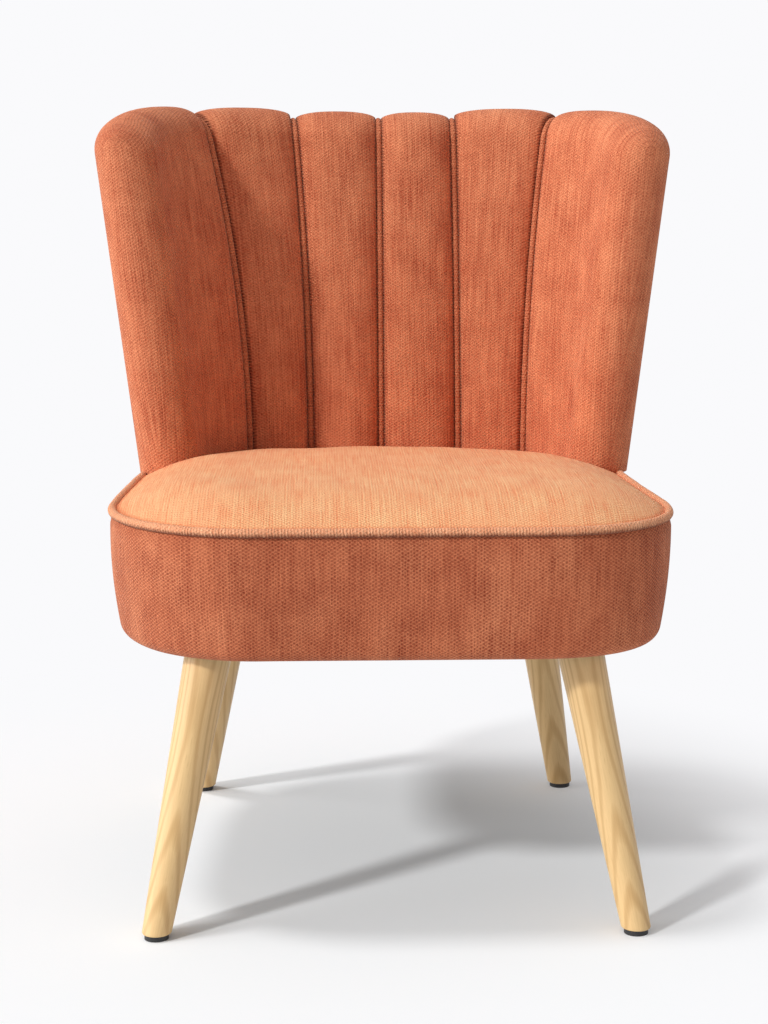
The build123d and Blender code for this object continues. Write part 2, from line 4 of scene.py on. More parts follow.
import bmesh
import bpy
import numpy as np
from mathutils import Euler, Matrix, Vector


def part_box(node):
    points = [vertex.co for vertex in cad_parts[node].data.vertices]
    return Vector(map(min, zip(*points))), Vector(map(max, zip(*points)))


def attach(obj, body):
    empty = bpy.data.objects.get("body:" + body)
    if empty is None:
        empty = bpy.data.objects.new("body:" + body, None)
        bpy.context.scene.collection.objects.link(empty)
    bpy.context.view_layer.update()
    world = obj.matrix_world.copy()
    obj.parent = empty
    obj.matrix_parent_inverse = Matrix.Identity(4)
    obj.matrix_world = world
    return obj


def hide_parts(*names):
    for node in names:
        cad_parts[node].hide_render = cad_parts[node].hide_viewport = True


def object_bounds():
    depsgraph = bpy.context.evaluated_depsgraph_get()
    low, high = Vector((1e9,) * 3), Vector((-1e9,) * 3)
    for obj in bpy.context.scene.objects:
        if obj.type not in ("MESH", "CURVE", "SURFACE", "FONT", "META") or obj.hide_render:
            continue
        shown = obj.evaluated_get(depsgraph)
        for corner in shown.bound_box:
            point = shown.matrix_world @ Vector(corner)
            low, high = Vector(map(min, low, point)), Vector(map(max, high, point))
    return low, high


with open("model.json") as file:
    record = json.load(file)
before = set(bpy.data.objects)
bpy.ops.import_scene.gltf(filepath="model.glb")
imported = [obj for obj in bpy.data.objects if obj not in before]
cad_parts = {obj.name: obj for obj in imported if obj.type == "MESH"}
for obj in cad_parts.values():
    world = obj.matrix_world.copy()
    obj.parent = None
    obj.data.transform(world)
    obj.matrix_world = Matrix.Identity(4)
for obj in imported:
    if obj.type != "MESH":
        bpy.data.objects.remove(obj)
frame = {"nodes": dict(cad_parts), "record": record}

CAD_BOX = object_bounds()
WELT_LOW, WELT_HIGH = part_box("seat_welt")
BAND_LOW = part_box("seat_band")[0]
CUSHION_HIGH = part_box("seat_top_cover")[1]
COVER_LOW, COVER_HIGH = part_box("outside_back_cover")
DUST_LOW, DUST_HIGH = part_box("dust_cover")
CHANNELS = 6

bl_info = {
    "name": "Channel-Back Slipper Chair",
    "version": (1, 0, 0),
    "blender": (4, 5, 0),
    "location": "3D View > Sidebar > Chair",
    "description": "Upholstery, wood and studio for a slipper chair with a channelled back",
    "category": "Object",
}


# Properties that a user would change

def setting(kind, **options):
    """Function that notes a property of this kind by its description and default."""
    def note(description, default):
        size = {"size": len(default)} if isinstance(default, tuple) else {}
        return kind, dict(options, description=description, default=default, **size)
    return note


length = setting(bpy.props.FloatProperty, unit="LENGTH", precision=4)
angle = setting(bpy.props.FloatProperty, subtype="ANGLE")
amount = setting(bpy.props.FloatProperty)
colour = setting(bpy.props.FloatVectorProperty, subtype="COLOR", min=0, max=1)
places = setting(bpy.props.FloatVectorProperty, unit="LENGTH")
shares = setting(bpy.props.FloatVectorProperty)
LAYERS = "Shares of dots, warp, slubs, patches and speckle"


def labelled(group):
    """Makes the properties of a group, each labelled after its own name."""
    for key, (kind, options) in group.__annotations__.items():
        group.__annotations__[key] = kind(name=key.replace("_", " ").capitalize(), **options)
    return group


@labelled
class ChairSeatSizes(bpy.types.PropertyGroup):
    """Sizes of the seat, measured on the welt line."""
    welt_radius: length("Half the thickness of the welt", (WELT_HIGH.z - WELT_LOW.z) / 2)
    welt_height: length("Height of the welt's middle", (WELT_HIGH.z + WELT_LOW.z) / 2)
    front_radius: length("Radius of the seat's front corners", 0.150)
    rear_radius: length("Radius of the seat's rear corners", 0.200)
    rear_flat: length("Half length of the straight rear edge", 0.072)
    taper: angle("Lean of the straight sides", radians(3.7))
    pinch: length("How far the right side is drawn in towards the back", 0.0095)
    side_bow: length("How far the sides swell out beside the back", 0.0025)
    corner_fill: length("How much fuller the right front corner is", 0.006)
    crown_top: length("Height of the cushion's middle", CUSHION_HIGH.z)
    crown_run: length("How far the crown rises in from the welt", 0.125)
    crown_power: amount("Fullness of the crown, higher rises steeper at the welt", 2.5)
    dome: length("Extra rise over the level middle", 0.002)
    fall_start: length("Place behind which the cushion falls to the back", 0.05)
    fall_run: length("Length over which it falls", 0.16)
    fall: amount("Share of the crown lost at the back", 0.48)
    lean_left: amount("Share of the crown lost at the left rear", 0.10)
    lean_right: amount("Share of the crown lost at the right rear", 0.18)
    band_bottom: length("Height of the seat's lower edge", BAND_LOW.z)
    band_bulge: length("How far the side stands out past the welt line", 0.0022)
    band_bulge_height: length("Height at which the side is widest", 0.385)
    band_bow: length("Radius of the side's upright curve", 0.620)
    band_round: length("Radius of the seat's lower edge", 0.0165)
    band_lip: length("How far the cover turns in below", 0.010)


@labelled
class ChairBackSizes(bpy.types.PropertyGroup):
    """Sizes of the channelled back; depth is measured in from its outer face."""
    top: length("Height of the channels", CAD_BOX[1][2])
    shoulder: length("Height at which the flare is measured", 0.777)
    radii: places("Outer corner radius at the welt and the shoulder", (0.210, 0.245))
    flats: places("Half length of the flat rear at the welt and the shoulder", (0.072, 0.0865))
    centres: places("Place of the corner centres at the welt and the shoulder", (0.0455, 0.067))
    seam_depth: length("Depth of the piped seams", 0.048)
    tuck_depth: length("Depth at which the cover is sewn beside the piping", 0.0475)
    crest_depth: length("Depth of a channel's crest", 0.066)
    wing_depth: length("Thickness of the outer channels", 0.072)
    wing_turn: angle("Turn at which the outer channels roll round", radians(76.0))
    wing_corner: length("Width of the rounded top corner", 0.142)
    wing_drop: length("Height of the rounded top corner", 0.046)
    seam_dip: length("How far the top dips at a seam", 0.008)
    slot: length("Half width of the slot that holds the piping", 0.0033)
    piping_radius: length("Half the thickness of the piping", 0.0036)
    piping_drop: length("How far the piping stays below the top", 0.0085)
    channel_low: length("Height of the channels' hidden feet", 0.395)
    cover_low: length("Height of the outside back's lower edge", COVER_LOW.z)
    cover_high: length("Height of the outside back's upper edge", COVER_HIGH.z)
    cover_turn: angle("Turn at which the outside back ends", radians(68.0))
    rises: places("How much higher each channel stands than the top",
                  (0.0025, 0.003, -0.001, -0.002, 0.002, -0.0015))
    seams_low: places("Places of the seams at the welt", (-0.160, -0.084, 0.0, 0.092, 0.174))
    seams_high: places("Places of the seams at the shoulder",
                       (-0.208, -0.100, -0.001, 0.088, 0.199))


@labelled
class ChairFinish(bpy.types.PropertyGroup):
    """Colours and scale of the finishes."""
    yarn_dark: colour("Colour between the weave's dots on the back", (0.42, 0.082, 0.036))
    yarn_light: colour("Colour on top of the weave's dots on the back", (0.86, 0.30, 0.145))
    # Painted shade: the seat's side takes a darker copy of the back's cloth, standing for its
    # shaded faces.
    side_dark: colour("Colour between the dots on the seat's side", (0.26, 0.040, 0.016))
    side_light: colour("Colour on top of the dots on the seat's side", (0.74, 0.235, 0.11))
    # Painted light: the level seat's cloth is a lighter copy of the back's, standing for its lit
    # top.
    nap_dark: colour("Colour between the dots on the level seat", (0.84, 0.245, 0.098))
    nap_light: colour("Colour on top of the dots on the level seat", (0.97, 0.56, 0.28))
    yarn_faded: colour("Colour of the brushed patches", (0.92, 0.37, 0.185))
    # Painted shade: the dotted dark lines beside the piping stand for shade in the seam's groove.
    stitch: colour("Colour of the stitched lines beside the piping", (0.10, 0.018, 0.010))
    # Painted light: the welt's colours are a lighter copy of the back's cloth, standing for its lit
    # top.
    welt_dark: colour("Colour between the welt's ribs", (0.70, 0.23, 0.105))
    welt_light: colour("Colour on top of the welt's ribs", (1.0, 0.55, 0.32))
    # Painted shade on the welt's lower half, which faces away from the light.
    welt_painted_shade: colour("Colour of the pile on the welt's lower half", (0.15, 0.028, 0.013))
    welt_line: colour("Colour of the sewn line inside the welt", (0.72, 0.12, 0.035))
    back_weave: shares(LAYERS, (0.36, 0.16, 0.55, 0.50, 0.45))
    side_weave: shares(LAYERS, (0.62, 0.12, 0.35, 0.45, 0.40))
    seat_weave: shares(LAYERS, (0.36, 0.42, 0.68, 0.50, 0.50))
    sheen: colour("Tint of the pile's sheen", (1.0, 0.72, 0.55))
    dot_width: length("Spacing of the weave's dots in a row", 0.0056)
    dot_height: length("Spacing of the weave's dots in a column", 0.0035)
    wood_light: colour("Colour of the early wood", (0.86, 0.59, 0.28))
    wood_dark: colour("Colour of the late wood", (0.63, 0.375, 0.145))
    glide_dark: colour("Darker colour of the glides", (0.014, 0.014, 0.015))
    glide_light: colour("Lighter colour of the glides", (0.03, 0.03, 0.032))


@labelled
class ChairStudio(bpy.types.PropertyGroup):
    """Camera and light."""
    camera: places("Place of the camera", (-0.0740, -2.1650, 0.7477))
    yaw: angle("Turn of the camera to the right", 0.0326)
    pitch: angle("Tilt of the camera down", 0.172)
    lens: amount("Focal length in millimetres on a 36 mm high frame", 70.3)
    key: amount("Strength of the light from the front left", 1.60)
    side: amount("Strength of the broad light from the left", 1.40)
    top: amount("Strength of the light from above", 0.85)
    fill: amount("Brightness of the surrounding light", 0.33)
    backdrop: colour("Colour of floor and surroundings", (0.955, 0.955, 0.972))


# Meshes from grids of points

SAME_PLACE = 1e-6


def new_object(name, data):
    item = bpy.data.objects.new(name, data)
    bpy.context.scene.collection.objects.link(item)
    return item


def grid_object(name, points, uv, wrap_rows=False, wrap_columns=False, caps=(), marks=None,
                close=False):
    """Surface over a rows by columns grid, with a UV map in metres.

    caps names the end columns of wrapped rows that a face closes, marks is each point's distance
    from the seam, and close fills an open rim with one flat face.
    """
    rows, columns = points.shape[:2]
    number = np.arange(rows * columns).reshape(rows, columns)
    row, column = np.meshgrid(np.arange(rows if wrap_rows else rows - 1),
                              np.arange(columns if wrap_columns else columns - 1), indexing="ij")
    row2 = (row + 1) % rows
    column2 = (column + 1) % columns
    quads = np.stack((number[row, column], number[row, column2],
                      number[row2, column2], number[row2, column]), -1).reshape(-1, 4)
    corners = np.stack((uv[row, column], uv[row, column + 1],
                        uv[row + 1, column + 1], uv[row + 1, column]), -2).reshape(-1, 2)
    faces = quads.tolist()
    for edge in caps:
        faces.append(number[:, edge].tolist())
        corners = np.concatenate((corners, uv[:rows, edge]))
    mesh = bpy.data.meshes.new(name)
    mesh.from_pydata(points.reshape(-1, 3).tolist(), [], faces)
    layer = mesh.uv_layers.new(name="UVMap")
    layer.data.foreach_set("uv", corners.astype(np.float32).ravel())
    if marks is not None:
        attribute = mesh.attributes.new("seam_gap", "FLOAT", "POINT")
        attribute.data.foreach_set("value", marks.astype(np.float32).ravel())
    shape = bmesh.new()
    shape.from_mesh(mesh)
    bmesh.ops.remove_doubles(shape, verts=shape.verts, dist=SAME_PLACE)
    for face in shape.faces:
        face.smooth = True
    if close:
        rim = [edge for edge in shape.edges if edge.is_boundary]
        bmesh.ops.holes_fill(shape, edges=rim, sides=len(rim))
    bmesh.ops.recalc_face_normals(shape, faces=shape.faces)
    shape.to_mesh(mesh)
    shape.free()
    return new_object(name, mesh)


def shrunk(rim, shares):
    """Copies of a closed line drawn towards its middle, which is share 0."""
    centre = rim.mean(0)
    return centre + (rim - centre)[None] * shares[:, None, None]


def raised(flat, height):
    """Flat points lifted to their heights."""
    height = np.broadcast_to(height, flat.shape[:2])
    return np.concatenate((flat, height[..., None]), -1)


def plan_uv(points):
    """UV as seen from above, for columns that wrap round."""
    return np.concatenate((points[..., :2], points[:, :1, :2]), 1)


def path_lengths(points):
    """Length along a line of points, from its first point."""
    return np.append(0.0, np.cumsum(np.linalg.norm(np.diff(points, axis=0), axis=1)))


def waves(u, v, size, seed, count=7):
    """Smooth irregular surface between -1 and 1 made of seeded waves about size long."""
    draw = np.random.default_rng(seed)
    total = np.zeros_like(u)
    for _ in range(count):
        turn = draw.uniform(0, 2 * pi)
        pitch = size * draw.uniform(0.7, 1.6)
        phase = draw.uniform(0, 2 * pi)
        total += np.sin(2 * pi * (u * cos(turn) + v * sin(turn)) / pitch + phase)
    return total / count


def ramp(value, start, run):
    """Smooth step from 0 at the start to 1 at the end of a run."""
    share = np.clip((value - start) / run, 0.0, 1.0)
    return share * share * (3 - 2 * share)


# Seat outline

# Start and run of the seat's uneven places: from front to rear, or from the middle out
PINCH_COMES, PINCH_GOES = (-0.28, 0.24), (0.03, 0.08)
PINCH_LOST = 0.55
PINCH_ACROSS = (0.0, 0.2)
BOW_COMES, BOW_GOES = (-0.18, 0.10), (0.02, 0.10)


def seat_outline(seat, count):
    """Points, outward normals and lengths along the welt line, from the middle of the rear."""
    front = WELT_LOW.y + seat.welt_radius
    rear = WELT_HIGH.y - seat.welt_radius
    lean = seat.taper
    out = np.array((cos(lean), sin(lean)))
    rear_centre = np.array((seat.rear_flat, rear - seat.rear_radius))
    front_y = front + seat.front_radius
    half = (seat.rear_flat + seat.rear_radius / cos(lean)
            + (rear_centre[1] - front_y) * tan(lean))
    front_centre = np.array((half - seat.front_radius / cos(lean), front_y))
    side_start = rear_centre + out * seat.rear_radius
    side = np.linalg.norm(front_centre + out * seat.front_radius - side_start)
    ends = np.cumsum((seat.rear_flat, seat.rear_radius * (pi / 2 - lean), side,
                      seat.front_radius * (pi / 2 + lean), front_centre[0]))
    around = np.linspace(0, 2 * ends[-1], count, endpoint=False)
    left = around > ends[-1]
    s = np.where(left, 2 * ends[-1] - around, around)
    spans = [s <= end for end in ends[:4]]
    turn = np.select(spans, [pi / 2, pi / 2 - (s - ends[0]) / seat.rear_radius, lean,
                             lean - (s - ends[2]) / seat.front_radius], -pi / 2)
    normal = np.stack((np.cos(turn), np.sin(turn)), -1)
    along = s - ends[1]
    x = np.select(spans, [s, rear_centre[0] + seat.rear_radius * normal[:, 0],
                          side_start[0] + along * sin(lean),
                          front_centre[0] + seat.front_radius * normal[:, 0]], ends[-1] - s)
    y = np.select(spans, [rear, rear_centre[1] + seat.rear_radius * normal[:, 1],
                          side_start[1] - along * cos(lean),
                          front_centre[1] + seat.front_radius * normal[:, 1]], front)
    corner = np.clip((lean - turn) / (lean + pi / 2), 0.0, 1.0)
    fill = np.where(left, 0.0, seat.corner_fill * np.sin(pi * corner) ** 2)
    x = x + normal[:, 0] * fill
    y = y + normal[:, 1] * fill
    x = x + seat.side_bow * ramp(y, *BOW_COMES) * (1 - ramp(y, *BOW_GOES))
    pinch = ramp(y, *PINCH_COMES) * (1 - PINCH_LOST * ramp(y, *PINCH_GOES))
    x = x - np.where(left, 0.0, seat.pinch * pinch * ramp(x, *PINCH_ACROSS))
    flip = np.where(left, -1.0, 1.0)
    points = np.stack((x * flip, y), -1)
    normal[:, 0] *= flip
    return points, normal, around, 2 * ends[-1]


def ring(outline, profile):
    """Points of a profile of outward offsets and heights carried round the seat."""
    points, normal = outline[:2]
    return raised(points[None] + normal[None] * profile[:, None, :1], profile[:, 1:])


def ring_uv(outline, profile):
    """UV of a closed ring, as long as the welt line one way and the profile the other."""
    around = np.append(outline[2], outline[3])
    down = path_lengths(np.concatenate((profile, profile[:1])))
    return np.stack(np.meshgrid(around, down), -1)


# Back surface

PILLOW_POWER = 2.4
PILLOW_ROOT = 0.6


def flare(back, z):
    """Share of the way from the welt to the shoulder at height z."""
    low = bpy.context.scene.chair_seat.welt_height
    return (z - low) / (back.shoulder - low)


def back_plan(back, z):
    """Flat half length, corner radius and corner centre of the outer face at height z."""
    share = flare(back, z)
    return [low + (high - low) * share for low, high in (back.flats, back.radii, back.centres)]


def run_at(back, turn, z):
    """Distance from the middle, along the seams' depth, at which the back has turned so far."""
    flat, radius = back_plan(back, z)[:2]
    return flat + (radius - back.seam_depth) * turn


def on_back(back, run, depth, z, ahead=0.0):
    """Points of the back at a run, depth and height, moved ahead along the surface."""
    flat, radius, centre = back_plan(back, z)
    turn = np.maximum(np.abs(run) - flat, 0.0) / (radius - back.seam_depth)
    x = np.minimum(np.abs(run), flat) + (radius - depth) * np.sin(turn) + ahead * np.cos(turn)
    y = centre + (radius - depth) * np.cos(turn) - ahead * np.sin(turn)
    side = np.where(run < 0, -1.0, 1.0)
    return np.stack(np.broadcast_arrays(x * side, y, z), -1)


def to_back(back, x, y, z):
    """Run and depth of points near the back."""
    flat, radius, centre = back_plan(back, z)
    dx = np.maximum(np.abs(x) - flat, 0.0)
    dy = y - centre
    turn = np.where(dx > 0, np.arctan2(dx, dy), 0.0)
    run = np.minimum(np.abs(x), flat) + (radius - back.seam_depth) * turn
    reach = np.where(dx > 0, np.hypot(dx, dy), dy)
    return np.where(x < 0, -run, run), radius - reach


def seam_run(back, seam, z):
    """Run of a seam at height z: upright at the seat, fanning out towards the top."""
    low, high = back.seams_low[seam], back.seams_high[seam]
    return low + (high - low) * np.maximum(flare(back, z), 0.0) ** 2


def pillow(share):
    """Rise of a stuffed channel from its seam, at share 0, to its crest, at share 1."""
    return (1 - np.clip(1 - share, 0.0, 1.0) ** PILLOW_POWER) ** PILLOW_ROOT


def stuffed(back, crest, rise):
    """Depth of a channel's front that rises from the seam to its crest's depth."""
    return back.tuck_depth + (crest - back.tuck_depth) * rise


def front_depth(back, run, z):
    """Depth of the channels' front at any run, or less than nothing past the wings."""
    depth = np.full(np.shape(run), -1.0)
    edges = [seam_run(back, seam, z) for seam in range(CHANNELS - 1)]
    for left, right in zip(edges[:-1], edges[1:]):
        middle, half = (left + right) / 2, (right - left) / 2
        off = np.abs(run - middle)
        front = stuffed(back, back.crest_depth, pillow(1 - off / half))
        depth = np.where(off <= half, front, depth)
    tip = run_at(back, back.wing_turn, z)
    core = back.wing_depth / 2
    for start, past in ((-edges[0], -run), (edges[-1], run)):
        share = np.minimum((past - start) / (tip - start), 1.0)
        front = stuffed(back, back.wing_depth, pillow(share))
        depth = np.where((past > start) & (past <= tip), front, depth)
        nose = core + np.sqrt(np.maximum(core ** 2 - (past - tip) ** 2, 0.0))
        depth = np.where((past > tip) & (past < tip + core), nose, depth)
    return depth


# Shader nodes

def connect(tree, node, inputs):
    """Sets a node's inputs to values, or links them to other nodes' sockets."""
    for key, value in inputs.items():
        if isinstance(value, bpy.types.NodeSocket):
            tree.links.new(value, node.inputs[key])
        else:
            node.inputs[key].default_value = value


def add(tree, kind, inputs=None, **settings):
    """New shader node with settings and inputs."""
    node = tree.nodes.new("ShaderNode" + kind)
    for key, value in settings.items():
        setattr(node, key, value)
    connect(tree, node, inputs or {})
    return node


def calc(tree, operation, first, second=0.0, third=0.0):
    node = add(tree, "Math", {0: first, 1: second, 2: third}, operation=operation)
    return node.outputs[0]


def spread(tree, value, low, high, to_low=0.0, to_high=1.0):
    """Value between low and high carried over to another range, and held at its ends."""
    return add(tree, "MapRange", {0: value, 1: low, 2: high, 3: to_low, 4: to_high}).outputs[0]


def plus(tree, total, value, share):
    """Total with a share of another value."""
    return calc(tree, "MULTIPLY_ADD", value, share, total)


def wave(tree, value, pitch, kind="SINE"):
    """Wave along a value that comes round once in each pitch."""
    return calc(tree, kind, calc(tree, "MULTIPLY", value, 2 * pi / pitch))


def mix_colour(tree, share, first, second):
    return add(tree, "Mix", {0: share, 6: first, 7: second}, data_type="RGBA").outputs[2]


def stretch(tree, vector, scale):
    return add(tree, "Mapping", {"Vector": vector, "Scale": scale}).outputs["Vector"]


def noise(tree, vector, repeats, detail=2.0, rough=0.5):
    """Noise that changes so often in a metre along each axis."""
    return add(tree, "TexNoise", {
        "Vector": stretch(tree, vector, repeats), "Scale": 1.0, "Detail": detail,
        "Roughness": rough}).outputs["Fac"]


def bump(tree, height, distance, strength):
    return add(tree, "Bump", {"Height": height, "Distance": distance,
                              "Strength": strength}).outputs["Normal"]


def opaque(rgb):
    return (*rgb, 1.0)


def new_material(name):
    """Material with a principled shader, its tree and that shader."""
    material = bpy.data.materials.new(name)
    material.use_nodes = True
    tree = material.node_tree
    return material, tree, tree.nodes["Principled BSDF"]


def bare_tree(owner):
    """Empty node tree of a material or world."""
    owner.use_nodes = True
    owner.node_tree.nodes.clear()
    return owner.node_tree


# Chenille

# How often each layer of the cloth changes in a metre along u and v
STRAY_REPEATS = 160.0
SLUB_REPEATS = (430.0, 14.0, 1.0)
PATCH_REPEATS = (31.5, 21.0, 1.0)
SPECKLE_REPEATS = (546.0, 336.0, 1.0)
WEAR_REPEATS = (14.4, 9.0, 1.0)

# How far threads stray, and the shape of the dots and of the dotted seam line
STRAY = 0.0026
DOT_SHARPNESS = 1.8
SEAM_DOT_PITCH = 0.0036
SEAM_CORE = 0.2

# Mean and gain of dots, warp, slubs, patches and speckle in the yarn's tone, and their heights
LAYER_TONES = ((0.34, 1.0), (0.0, 0.5), (0.5, 2.0), (0.5, 2.0), (0.5, 2.0))
LAYER_HEIGHTS = (0.8, 0.12, 0.5, 0.0, 0.9)
RIB_HEIGHT, STITCH_HEIGHT = 0.3, -1.2

# Ranges of a layer, and the shares of another colour that they are carried over to
WEAR = (0.45, 0.70, 0.0, 0.45)
RIB_SHADE = (-1.0, 0.3, 0.30, 0.0)
# UNDER_ ranges paint shade on a level piping's lower half.
UNDER_SHADE = (-0.35, 0.50, 0.85, 0.0)
UNDER_RIB, UNDER_SPECKLE = 0.15, 0.8
# Swing and level of the dotted seam line, which beside the piping is painted shade
SEAM_DOT_SWING, STITCH_SHADE = 0.25, 0.6


def strayed(tree, uv):
    """u and v of threads that stray a little from straight lines."""
    drift = add(tree, "TexNoise", {"Vector": uv, "Scale": STRAY_REPEATS, "Detail": 2.0})
    shift = add(tree, "VectorMath", {0: drift.outputs["Color"], 1: (0.5, 0.5, 0.5)},
                operation="SUBTRACT")
    shift = add(tree, "VectorMath", {0: shift.outputs[0], "Scale": STRAY}, operation="SCALE")
    thread = add(tree, "VectorMath", {0: uv, 1: shift.outputs[0]}, operation="ADD")
    split = add(tree, "SeparateXYZ", {0: thread.outputs[0]})
    return split.outputs["X"], split.outputs["Y"]


def chenille(name, finish, yarns, weave, seam=None, reach=0.003, ribs=0.0, under=None, nap=0.0):
    """Woven chenille on the piece's UV map: dots, warp threads, slubs, patches and speckle.

    yarns and weave name the finish's colours and shares. seam is the colour of the dotted line
    where the piece's seam_gap is less than reach; beside the piping it is painted shade in the
    seam's groove. ribs is the pitch of a piping's ribs, and under the colour of the painted shade
    on a level piping's lower half and its radius. The last argument is how fast painted light
    lightens the yarn along v.
    """
    material, tree, shader = new_material(name)
    dark = opaque(getattr(finish, yarns + "_dark"))
    light = opaque(getattr(finish, yarns + "_light"))
    uv = add(tree, "UVMap", uv_map="UVMap").outputs["UV"]
    u, v = strayed(tree, uv)
    dots = calc(tree, "MULTIPLY", wave(tree, u, finish.dot_width), wave(tree, v, finish.dot_height))
    dots = calc(tree, "POWER", calc(tree, "MULTIPLY_ADD", dots, 0.5, 0.5), DOT_SHARPNESS)
    speckle = noise(tree, uv, SPECKLE_REPEATS, 2.0, 0.6)
    layers = (dots, wave(tree, u, finish.dot_width / 2, "COSINE"), noise(tree, uv, SLUB_REPEATS),
              noise(tree, uv, PATCH_REPEATS, 4.0, 0.62), speckle)
    tone, height = 0.5, 0.0
    for layer, share, (mean, gain), rise in zip(layers, getattr(finish, weave + "_weave"),
                                                LAYER_TONES, LAYER_HEIGHTS):
        centred = calc(tree, "SUBTRACT", layer, mean)
        tone = plus(tree, tone, centred, share * gain)
        if rise:
            height = plus(tree, height, layer, rise)
    # Painted light: the yarn lightens along v, so the seat is lighter towards its front.
    if nap:
        tone = plus(tree, tone, v, nap)
    yarn = add(tree, "Clamp", {0: tone}).outputs[0]
    base = mix_colour(tree, yarn, dark, light)
    worn = spread(tree, noise(tree, uv, WEAR_REPEATS, 3.0), *WEAR)
    base = mix_colour(tree, calc(tree, "MULTIPLY", worn, yarn), base, opaque(finish.yarn_faded))
    if ribs:
        rib = wave(tree, u, ribs)
        height = plus(tree, height, rib, RIB_HEIGHT)
        base = mix_colour(tree, spread(tree, rib, *RIB_SHADE), base, dark)
    # Painted shade: a level piping darkens round its lower half, towards its underside.
    if ribs and under:
        shade, radius = under
        facing = wave(tree, v, 2 * pi * radius)
        facing = plus(tree, facing, rib, UNDER_RIB)
        facing = plus(tree, facing, speckle, UNDER_SPECKLE)
        base = mix_colour(tree, spread(tree, facing, *UNDER_SHADE), base, opaque(shade))
    # Dotted darker line where seam_gap is small: painted shade in the seam's groove beside the
    # piping, and the welt's seam line on the seat
    if seam:
        gap = add(tree, "Attribute", attribute_name="seam_gap").outputs["Fac"]
        line = spread(tree, gap, reach * SEAM_CORE, reach, 1.0, 0.0)
        stitch = calc(tree, "MULTIPLY_ADD", wave(tree, v, SEAM_DOT_PITCH), SEAM_DOT_SWING, STITCH_SHADE)
        line_and_shade_mask = calc(tree, "MULTIPLY", line, stitch)
        base = mix_colour(tree, line_and_shade_mask, base, opaque(seam))
        height = plus(tree, height, line_and_shade_mask, STITCH_HEIGHT)
    connect(tree, shader, {
        "Base Color": base, "Roughness": 0.92, "Specular IOR Level": 0.2, "Sheen Weight": 0.26,
        "Sheen Roughness": 0.35, "Sheen Tint": opaque(finish.sheen),
        "Normal": bump(tree, height, 0.0011, 0.8)})
    return material


# Wood and plain finishes

# How often each layer of the wood changes in a metre, twice across the grain and along it
FIBRE_REPEATS = (900.0, 900.0, 14.0)
PORE_REPEATS = (1700.0, 1700.0, 60.0)
CLOUD_REPEATS = (30.0, 30.0, 6.0)
RING_STRETCH = (1.0, 1.0, 0.10)

# Shares of the layers in the late wood's tone, and the ranges in which tone and pores darken it
RING_RANGE, RING_SHARE = (0.5, 1.0), 0.46
FIBRE_SHARE, CLOUD_SHARE = 0.5, 0.35
LATE_WOOD = (0.3, 1.05)
PORE_SHADE = (0.62, 0.75, 0.0, 0.45)
ROUGH_SWING = 0.08


def leg_wood(name, finish, foot, head):
    """Pale wood with its grain along a leg, arched about the leg's head."""
    material, tree, shader = new_material(name)
    turn = (head - foot).rotation_difference(Vector((0, 0, 1))).to_matrix()
    grain = add(tree, "Mapping", {
        "Vector": add(tree, "TexCoord").outputs["Object"], "Location": -(turn @ head),
        "Rotation": turn.to_euler()}).outputs["Vector"]
    rings = add(tree, "TexWave", {
        "Vector": stretch(tree, grain, RING_STRETCH), "Scale": 80.0, "Distortion": 1.8,
        "Detail": 2.0, "Detail Scale": 0.9}, wave_type="RINGS", rings_direction="X")
    fibre = noise(tree, grain, FIBRE_REPEATS, 3.0)
    pore = noise(tree, grain, PORE_REPEATS, 1.0)
    cloud = noise(tree, grain, CLOUD_REPEATS)
    tone = calc(tree, "MULTIPLY", spread(tree, rings.outputs["Fac"], *RING_RANGE), RING_SHARE)
    tone = plus(tree, tone, fibre, FIBRE_SHARE)
    tone = plus(tree, tone, cloud, CLOUD_SHARE)
    late = opaque(finish.wood_dark)
    base = mix_colour(tree, spread(tree, tone, *LATE_WOOD), opaque(finish.wood_light), late)
    base = mix_colour(tree, spread(tree, pore, *PORE_SHADE), base, late)
    connect(tree, shader, {
        "Base Color": base, "Roughness": spread(tree, fibre, 0.0, 1.0, 0.38, 0.55),
        "Coat Weight": 0.12, "Coat Roughness": 0.3,
        "Normal": bump(tree, calc(tree, "ADD", fibre, pore), 0.0002, 0.35)})
    return material


def plain_finish(name, first, second, repeats, roughness, metallic=0.0):
    """Two-tone finish with a fine grain on Object coordinates."""
    material, tree, shader = new_material(name)
    grain = noise(tree, add(tree, "TexCoord").outputs["Object"], repeats, 4.0, 0.6)
    connect(tree, shader, {
        "Base Color": mix_colour(tree, grain, opaque(first), opaque(second)),
        "Roughness": spread(tree, grain, 0.0, 1.0, roughness - ROUGH_SWING,
                            roughness + ROUGH_SWING),
        "Metallic": metallic, "Normal": bump(tree, grain, 0.0003, 0.5)})
    return material


def dress(piece, material, slot, *nodes):
    """Gives a piece its material and body, and hides the solids that it stands for. slot is not
    used.
    """
    piece.data.materials.append(material)
    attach(piece, "root")
    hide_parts(*nodes)


def paint(node, material):
    """Gives a solid that stays visible a material."""
    for place in frame["nodes"][node].material_slots:
        place.material = material


# Operators, one for each piece or group of like pieces. A pair named waves is the size and seed of
# unevenness, and a pair named across or along is the start and run of a ramp.

